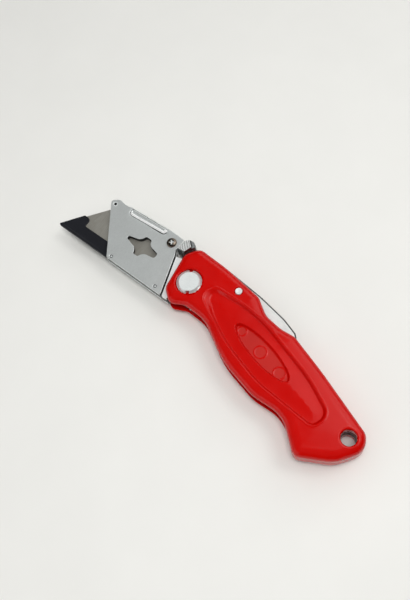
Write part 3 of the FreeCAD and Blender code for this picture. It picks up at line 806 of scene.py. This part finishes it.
def notched_disc():
    """The nut's outline, with its two spanner notches."""
    points = []
    for turn in np.radians(np.arange(0, 360, 4.0)):
        away = (math.degrees(turn) - NOTCH_TURN + 90) % 180 - 90
        if abs(away) > 9:
            points.append((NUT_R * math.cos(turn), NUT_R * math.sin(turn)))
        elif abs(away) <= 2:
            first = math.cos(turn - math.radians(NOTCH_TURN)) > 0
            line = np.radians(NOTCH_TURN if first else NOTCH_TURN + 180.0)
            c, s = math.cos(line), math.sin(line)
            points += [(r * c - w * s, r * s + w * c) for r, w in NOTCH]
    return np.array(points)


def nut_top(points):
    """A bevelled ring round a slightly domed face with a shallow mark at its centre."""
    r = radius_from(points, (0, 0))
    bevel = np.clip((r - BEVEL_FROM) / BEVEL_RUN, 0, 1)
    return (NUT_TOP - BEVEL_DROP * bevel - 0.05 * np.exp(-(r / 0.9) ** 2)
            + 0.03 * (1 - (r / 5) ** 2))


def level(height):
    return lambda points: np.full(len(points), height)


nut = field(notched_disc(), [], nut_top, level(NUT_BASE), 0.5, [circle((0, 0), 3.95, 64)],
            [circle((0, 0), BEVEL_FROM, 64), circle((0, 0), 0.5, 16), circle((0, 0), 1.0, 24)])
piece("pivot_nut_disc", [nut], "handle", BRIGHT, ["pivot_nut"],
      others=[(SATIN, lambda p: radius_from(p[:, :2], (0, 0)) > 4.0)])

# ---------------------------------------------------------------- head

cover_ring = rounded(COVER, step=0.7)
rib_ring = rounded(RIB, step=0.4)
window_ring = rounded(WINDOW, WINDOW_CENTRE, step=0.4)
into_rib = surveyed(rib_ring, 0.12)
STAMPS, STAMP_R, STAMP_DROP = ((-35.2, -9.0), (-11.6, -8.6)), 0.6, 0.18
RIB_RISE, RIB_DISH, RIB_WALL = 0.74, 0.16, 0.6
CREASE_DROP = 0.10
COVER_ROUND, EAR_HOLE_R, EAR_BORE_R = 0.16, 1.1, 0.7
# The line along which the rib's highlight is painted.
RIB_HIGHLIGHT_LINE = np.array(((-41.0, 10.25), (-23.6, 11.5), (-23.3, 13.0), (-23.6, 11.5)))


def cover_relief(points):
    """The pressed rib with a dished top and a crease round it, and the two ring stamps."""
    rib = into_rib(points)
    z = RIB_RISE * smooth(rib / RIB_WALL) - RIB_DISH * smooth((rib - 0.55) / 0.5)
    z = z - CREASE_DROP * np.exp(-((rib + 0.35) / 0.22) ** 2) * (rib < 0)
    for place in STAMPS:
        z = z - STAMP_DROP * np.exp(-((radius_from(points, place) - STAMP_R) / 0.17) ** 2)
    return z


def rib_flank_highlight(middles):
    """The rib's lower flank and its end next to the screw, where a near-white highlight is
    painted.
    """
    rib = into_rib(middles[:, :2])
    beyond = distance(middles[:, :2], RIB_HIGHLIGHT_LINE)
    return (rib > 0.06) & (rib < 0.85) & (beyond < 1.1)


def rib_crease_shade(middles):
    """The painted shade in the crease round the rib, widest below it and fading out towards its
    front end.
    """
    rib = into_rib(middles[:, :2])
    lower = (middles[:, 1] < 12.8) & (rib > -0.2 - 0.2 * smooth((middles[:, 0] + 34) / 8))
    return (rib < 0.0) & (lower | (rib > -0.15))


# Painted shade on the window's inner walls.
def window_side_shade(middles):
    near = distance(middles[:, :2], window_ring) < ON_RING
    return near & (np.abs(middles[:, 2] - MID) < HEAD_TOP - MID - 0.15)


# Painted shade in the grooves of the ring stamps.
def stamp_groove_shade(middles):
    around = np.min([radius_from(middles[:, :2], place) for place in STAMPS], axis=0)
    return (np.abs(around - STAMP_R) < 0.16) & (middles[:, 2] > CORE_TOP + 0.2)


def rear_side_shade(middles):
    """The cover's sheared rear edge, in the narrow gap before the tang, painted as shade."""
    ends = np.array([COVER[i][:2] for i in (1, 2, 3, 2)])
    near = distance(middles[:, :2], ends) < 0.3
    inner = np.abs(middles[:, 2] - MID) < HEAD_TOP - MID - 0.12
    return near & inner & (distance(middles[:, :2], cover_ring) < ON_RING)


RIB_LINES = (0.1, 0.2, 0.3, 0.45, 0.6, 0.8, 1.0, -0.15, -0.2, -0.4, -0.7)


def cover(name, node, flip):
    shape = [inset(rib_ring, a) for a in RIB_LINES]
    shape += [inset(window_ring, -a) for a in (0.45, 0.7, 1.0)]
    shape += [circle(p, r, 24) for p in STAMPS for r in (0.3, 0.45, 0.6, 0.75, 0.95)]
    plate = rounded_plate(cover_ring, [window_ring, circle(EAR_RIVET, EAR_HOLE_R, 32)], CORE_TOP,
                          HEAD_TOP, COVER_ROUND, 1.0, cover_relief, [rib_ring], shape)
    piece(name, [plate], "head", SATIN, [node], flip=flip,
          others=[(PAINTED_HIGHLIGHT, rib_flank_highlight), (SHADE, rib_crease_shade), (SHADE, window_side_shade),
                  (SHADE, rear_side_shade), (PAINTED_SHADE_EDGE, stamp_groove_shade)])


cover("cover_upper_pressed", "upper_cover", False)
cover("cover_lower_pressed", "lower_cover", True)

ear = [(0.66, 4.4), (0.78, 4.31), (1.0, 4.33), (1.07, 4.5)]
ear = ear + [(r, THICKNESS - z) for r, z in ear[::-1]]
# The rivet's bore is painted as shade.
piece("ear_rivet_rolled", [turned(ear, EAR_RIVET, 36)], "head", BRIGHT,
      ["ear_rivet"], others=[(SHADE, lambda p: radius_from(p[:, :2], EAR_RIVET) < EAR_BORE_R)])

CROSS_TURN, CROSS_REACH, CROSS_HALF, CROSS_DEEP = math.radians(40), 1.25, 0.36, 0.75
SCREW_R, SCREW_RIM, SCREW_DOME = 2.1, 0.32, 0.92


def cross_depth(points):
    """Depth of the screw's cross recess."""
    c, s = math.cos(CROSS_TURN), math.sin(CROSS_TURN)
    local = np.abs((points - COVER_SCREW) @ np.array(((c, -s), (s, c))))
    arms = np.minimum(np.maximum(local[:, 0] / CROSS_REACH, local[:, 1] / CROSS_HALF),
                      np.maximum(local[:, 1] / CROSS_REACH, local[:, 0] / CROSS_HALF))
    return CROSS_DEEP * smooth((1 - arms) / 0.35)


def screw_top(points):
    r = radius_from(points, COVER_SCREW) / SCREW_R
    dome = HEAD_TOP + SCREW_RIM + SCREW_DOME * np.sqrt(np.clip(1 - r ** 2.4, 0, 1))
    return dome - cross_depth(points)


head = field(circle(COVER_SCREW, SCREW_R, 48), [], screw_top, level(HEAD_TOP + 0.02), 0.14, [],
             [circle(COVER_SCREW, r, 48) for r in (2.09, 2.06, 2.0, 1.9)])
shank = turned([(0.0, 4.6), (0.85, 4.6), (0.95, 4.75), (0.95, 9.62), (0.0, 9.62)],
               COVER_SCREW, 32)
# The deep arms of the cross recess are painted bright as a highlight.
piece("cover_screw_pan", [head, shank], "head", SCREW, ["cover_screw"], sharp=40,
      others=[(BRIGHT, lambda p: (cross_depth(p[:, :2]) > 0.45) & (p[:, 2] > HEAD_TOP + 0.1))])


SERRATION_ALONG, SERRATION_PITCH, SERRATION_DEEP = (0.84, 0.54), 0.68, 0.24
NOSE_AT, NOSE_ALONG, NOSE_R = (-12.2, 14.8), np.array((0.643, 0.766)), 2.6
BUTTON_TOP, BUTTON_FOOT, FACE_RISE, SIDE_SLOPE, BUTTON_ROUND = 12.1, 8.3, 2.4, 2.4, 0.3


def serration(points):
    """0 on a ridge of the thumb face and 1 in the groove beside it."""
    along = SERRATION_ALONG[0] * points[:, 0] + SERRATION_ALONG[1] * points[:, 1]
    return np.abs((along / SERRATION_PITCH) % 1.0 - 0.5) * 2


# Painted shade in the grooves between the serrations.
def button_groove_shade(middles):
    return (into_face(middles[:, :2]) > 0.15) & (serration(middles) > 0.62)


def button_top(points):
    """A flat serrated thumb face with steep sides, and a low rounded nose towards the spine."""
    face = into_face(points)
    out = np.maximum(-face, 0)
    edge = np.maximum(into_button(points), 0)
    beyond = (points - NOSE_AT) @ NOSE_ALONG
    nose = 0.45 + NOSE_R - np.sqrt(NOSE_R ** 2 - np.clip(beyond, 0, 2.2) ** 2)
    side = np.minimum(SIDE_SLOPE * out, FACE_RISE)
    toward = smooth((beyond + 0.15) / 0.3)
    fall = side * (1 - toward) + np.minimum(nose, FACE_RISE) * toward
    z = BUTTON_TOP - fall * smooth(out / 0.12)
    z = z - SERRATION_DEEP * smooth(serration(points)) * smooth(face / 0.25)
    return z - BUTTON_ROUND * (1 - np.sqrt(1 - np.clip(1 - edge / BUTTON_ROUND, 0, 1) ** 2))


def button_flank_shade(middles):
    """The button's sides and nose, outside its thumb face, painted darker as shade."""
    return (into_face(middles[:, :2]) < -0.03) | (middles[:, 2] < 9.0)


button_ring = rounded(BUTTON, step=0.3)
into_button = surveyed(button_ring, 0.12)
face_ring = rounded(THUMB_FACE, step=0.3)
into_face = surveyed(face_ring, 0.12)
thumb = field(button_ring, [], button_top, level(BUTTON_FOOT), 0.11, [],
              [face_ring, inset(face_ring, 0.12)])
under_plate = field(button_ring, [], level(5.7), level(4.8), 0.8)
piece("button_serrated", [thumb, under_plate], "release", THUMB,
      ["release_button"], sharp=40,
      others=[(THUMB_SIDE_SHADE, button_flank_shade), (THUMB_GROOVE_SHADE, button_groove_shade)])

# ---------------------------------------------------------------- blade and guard

blade_right = BLADE_TIP_X + BLADE_LENGTH
blade_back = BLADE_EDGE_Y + BLADE_HEIGHT
blade_mid = BLADE_TIP_X + BLADE_LENGTH / 2
NOTCH_OUT, NOTCH_HALF, NOTCH_DEEP = 6.3, 1.6, 1.9
NOTCHES = [(blade_mid + side * NOTCH_OUT - NOTCH_HALF, blade_mid + side * NOTCH_OUT + NOTCH_HALF)
           for side in (1, -1)]
back_corners = [(blade_right - BLADE_END_RUN, blade_back, 0.0)]
for left, right in NOTCHES:
    back_corners += [(right, blade_back, 0.0), (right, blade_back - NOTCH_DEEP, 0.25),
                     (left, blade_back - NOTCH_DEEP, 0.25), (left, blade_back, 0.0)]
blade_ring = rounded([(BLADE_TIP_X, BLADE_EDGE_Y, 0.0), (blade_right, BLADE_EDGE_Y, 0.0),
                      *back_corners, (BLADE_TIP_X + BLADE_END_RUN, blade_back, 0.0)], step=1.0)


BLADE_BEVEL, EDGE_HALF = 2.6, 0.02


def blade_half(points):
    """Half the blade's thickness: a ground bevel at the edge, flat above it."""
    up = points[:, 1] - BLADE_EDGE_Y
    return EDGE_HALF + (BLADE_HALF - EDGE_HALF) * np.clip(up / BLADE_BEVEL, 0, 1)


bevel_line = [(x, BLADE_EDGE_Y + BLADE_BEVEL)
              for x in np.arange(BLADE_TIP_X + 1, blade_right, 0.5)]
steel = field(blade_ring, [], lambda p: MID + blade_half(p), lambda p: MID - blade_half(p), 1.4,
              [], [bevel_line])
piece("blade_trapezoid", [steel], "blade", BLADE, ["blade"], sharp=4)

GUARD_HALF, GUARD_ROUND, GUARD_DISH, CHANNEL_HALF = 0.95, 0.35, 0.12, 0.36
GUARD_LINES = (0.05, 0.17, 0.35, 0.6, 1.0)
guard_ring = rounded(GUARD, step=0.5)
into_guard = surveyed(guard_ring, 0.2)
channel = rounded([(BLADE_TIP_X - 0.2, BLADE_EDGE_Y - 0.08, 0.0),
                   (blade_right, BLADE_EDGE_Y - 0.08, 0.0),
                   (blade_right, 6.0, 0.0), (BLADE_TIP_X + 11.0, 5.0, 0.0)], step=0.5)


def guard_half():
    """The guard's upper half, with the channel that the blade's edge sits in on its underside."""
    def top(points):
        edge = np.maximum(into_guard(points), 0)
        fall = 1 - np.sqrt(1 - np.clip(1 - edge / GUARD_ROUND, 0, 1) ** 2)
        z = MID + GUARD_HALF - GUARD_ROUND * fall
        lip = np.exp(-((points[:, 1] - BLADE_EDGE_Y + 0.1) / 0.35) ** 2)
        return z - GUARD_DISH * (1 - lip) * smooth(edge) * smooth((points[:, 1] + 9.4) / 0.3)

    def bottom(points):
        return np.where(inside(points, channel), MID + CHANNEL_HALF, MID)

    cut = channel[inside(channel, guard_ring)]
    return field(guard_ring, [], top, bottom, 0.8, [],
                 [cut, cut + (0.05, 0.05)] + [inset(guard_ring, a) for a in GUARD_LINES])


half = guard_half()
piece("guard_channel", [half, mirrored(half)], "guard", GUARD_PLASTIC,
      ["blade_guard"])

# ---------------------------------------------------------------- springs

def leaf_spring(name, line, thick, half_width, node):
    """A flat spring: a bent strip with softened edges."""
    points = [Vector(p) for p in line]
    fine = []
    for a, b in zip(points, points[1:]):
        count = max(2, int((b - a).length / 0.5))
        fine += [a.lerp(b, k / count) for k in range(count)]
    fine.append(points[-1])
    sides = ([], [])
    for i, p in enumerate(fine):
        ahead = (fine[min(i + 1, len(fine) - 1)] - fine[max(i - 1, 0)]).normalized()
        for side, sign in zip(sides, (1, -1)):
            side.append(p + Vector((-ahead.y, ahead.x)) * (sign * thick / 2))
    ring = np.array([tuple(p) for p in sides[0] + sides[1][::-1]])
    strip = rounded_plate(ring, [], MID - half_width, MID + half_width, 0.08, 0.5)
    obj = piece(name, [strip], None, SPRING, [node])
    ends = [((x + PIVOT[0]) * MM, (y + PIVOT[1]) * MM, MID * MM) for x, y in line[-2:]]
    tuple(ends[0])
    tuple(ends[1])
    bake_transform(obj)


leaf_spring("lock_spring_leaf", LOCK_SPRING_LINE, 0.6, 1.8, "lock_spring")
leaf_spring("release_spring_leaf", RELEASE_SPRING_LINE, 0.4, 1.2, "release_spring")

# ---------------------------------------------------------------- CAD nodes that stay

SOFTENED = 0.12

slots = {part["node"]: part["material_slot"] for part in frame["record"]["subparts"]}
for node, obj in frame["nodes"].items():
    for holder in obj.material_slots:
        holder.material = SLOT_MATERIAL[slots[node]]
    if not obj.hide_render:
        bevel = obj.modifiers.new("softened", "BEVEL")
        bevel.width = SOFTENED * MM
        bevel.segments = 2
        bevel.limit_method = "ANGLE"
        bevel.angle_limit = math.radians(50)

# ---------------------------------------------------------------- stage, light, camera

# Lengths are in metres from here on.
AMBIENT, FLOOR_R, FLOOR_BELOW = 0.04, 0.55, 0.00005

floor_mesh = bpy.data.meshes.new("floor")
floor_rim = circle((0, 0), FLOOR_R, 96)
floor_mesh.from_pydata([(x, y, 0) for x, y in floor_rim], [], [tuple(range(len(floor_rim)))])
floor = bpy.data.objects.new("floor", floor_mesh)
bpy.context.scene.collection.objects.link(floor)
floor.location.z = -FLOOR_BELOW
paper = Nodes("pale_paper")
paper.link(paper.ramp(paper.noise(30, 3), ((0.3, (0.80, 0.80, 0.775)),
                                           (0.7, (0.82, 0.82, 0.795)))),
           paper.shader.inputs["Base Color"])
paper.bump(paper.noise(1500, 2), 0.05, 0.02)
paper.set(Roughness=0.75)
floor_mesh.materials.append(paper.material)

world = bpy.data.worlds.new("studio")
bpy.context.scene.world = world
world.use_nodes = True
sky = world.node_tree
ambient = sky.nodes["Background"]
ambient.inputs["Color"].default_value = (0.97, 0.98, 1.0, 1)
ambient.inputs["Strength"].default_value = AMBIENT
backdrop = sky.nodes.new("ShaderNodeBackground")
backdrop.inputs["Color"].default_value = (0.80, 0.80, 0.78, 1)
seen = sky.nodes.new("ShaderNodeLightPath")
choose = sky.nodes.new("ShaderNodeMixShader")
sky.links.new(seen.outputs["Is Camera Ray"], choose.inputs["Fac"])
sky.links.new(ambient.outputs["Background"], choose.inputs[1])
sky.links.new(backdrop.outputs["Background"], choose.inputs[2])
sky.links.new(choose.outputs["Shader"], sky.nodes["World Output"].inputs["Surface"])


def panel(name, place, target, width, height, radiance, colour=(1, 1, 1), gloss=True,
          diffuse=True):
    """A rectangular softbox of an even radiance, facing a target."""
    data = bpy.data.lights.new(name, "AREA")
    data.shape = "RECTANGLE"
    data.size, data.size_y = width, height
    data.energy = radiance * math.pi * width * height
    data.color = colour
    lamp = bpy.data.objects.new(name, data)
    lamp.location = place
    lamp.rotation_euler = (Vector(target) - Vector(place)).to_track_quat("-Z", "Y").to_euler()
    lamp.visible_glossy, lamp.visible_diffuse = gloss, diffuse
    bpy.context.scene.collection.objects.link(lamp)


WARM, COOL = (1.0, 0.995, 0.98), (0.99, 0.995, 1.0)
panel("ceiling", (0.50, 0.61, 0.9), (0.50, 0.61, 0.0), 1.3, 1.0, 1.35, WARM, diffuse=False)
panel("skylight", (0.34, 0.50, 0.9), (0.0, 0.0, 0.0), 0.42, 0.42, 3.6, WARM)
panel("behind", (0.10, 0.85, 0.45), (0.0, 0.0, 0.0), 0.7, 0.3, 1.6, WARM, gloss=False)
panel("window", (0.0, 1.1, 0.62), (0.0, 0.0, 0.0), 1.8, 0.5, 1.5, WARM, diffuse=False)
panel("low_fill", (-0.3, -1.0, 0.28), (0.0, 0.0, 0.0), 1.3, 0.4, 1.3, COOL)
panel("over_shoulder", (0.10, -0.03, 0.50), (0.0, 0.0, 0.0), 0.14, 0.14, 17.5, WARM, gloss=False)
panel("dome", (-0.15, 0.0, 0.7), (-0.15, 0.0, 0.0), 2.0, 2.0, 0.58, WARM, gloss=False)

camera_data = bpy.data.cameras.new("camera")
camera_data.lens = 42.0
camera_data.sensor_width = 36.0
camera_data.clip_start = 0.01
camera = bpy.data.objects.new("camera", camera_data)
bpy.context.scene.collection.objects.link(camera)
camera.location = (0.08902, -0.05679, 0.26036)
camera.rotation_euler = [math.radians(a) for a in (22.852, 7.5, 38.828)]
bpy.context.scene.camera = camera
bpy.context.scene.view_settings.view_transform = "Standard"
